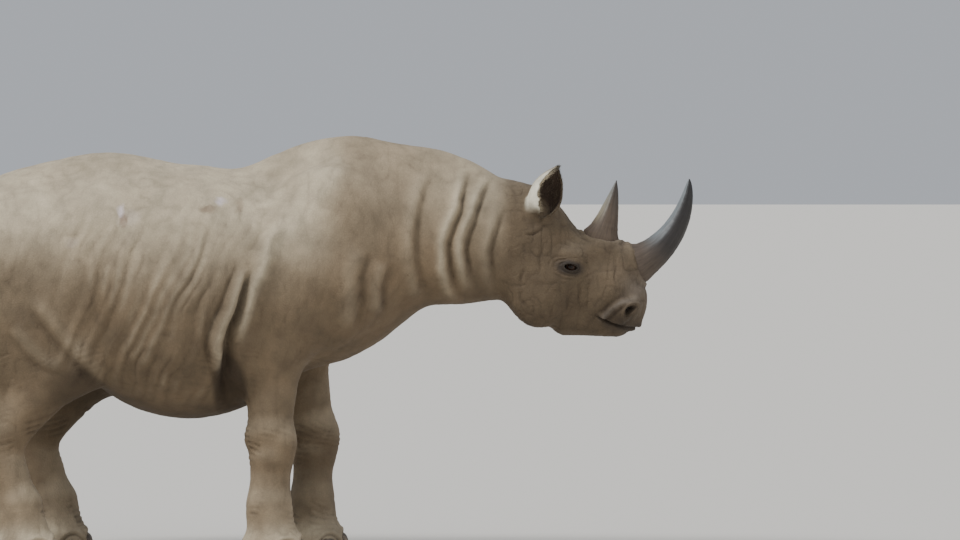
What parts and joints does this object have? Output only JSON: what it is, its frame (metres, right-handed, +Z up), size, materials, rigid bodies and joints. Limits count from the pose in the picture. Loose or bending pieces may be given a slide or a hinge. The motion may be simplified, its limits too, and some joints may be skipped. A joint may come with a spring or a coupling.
{
  "type": "black rhinoceros",
  "caption": "Black rhinoceros, life size, standing still in a steady stance: hump, folded neck, curved horns, cupped ears and a bristled tail.",
  "frame": {"origin": "on the floor, under the middle of the animal's footprint box", "axes": "+X towards the head, +Y towards the animal's left side, +Z up"},
  "size_m": [3.0411, 0.9016, 1.579],
  "materials": {
    "hide": "matte",
    "horn": "satin",
    "nail": "matte",
    "eye": "gloss",
    "hair": "matte"
  },
  "bodies": {
    "root": {"torso": "hide", "neck": "hide", "head": "hide", "tail": "hide", "ear_right": "hide", "ear_left": "hide", "eye_right": "eye", "eye_left": "eye", "horn_front": "horn", "horn_rear": "horn", "leg_front_right": "hide", "nail_front_right_1": "nail", "nail_front_right_2": "nail", "nail_front_right_3": "nail", "leg_front_left": "hide", "nail_front_left_1": "nail", "nail_front_left_2": "nail", "nail_front_left_3": "nail", "leg_hind_right": "hide", "nail_hind_right_1": "nail", "nail_hind_right_2": "nail", "nail_hind_right_3": "nail", "leg_hind_left": "hide", "nail_hind_left_1": "nail", "nail_hind_left_2": "nail", "nail_hind_left_3": "nail"}
  },
  "joints": []
}
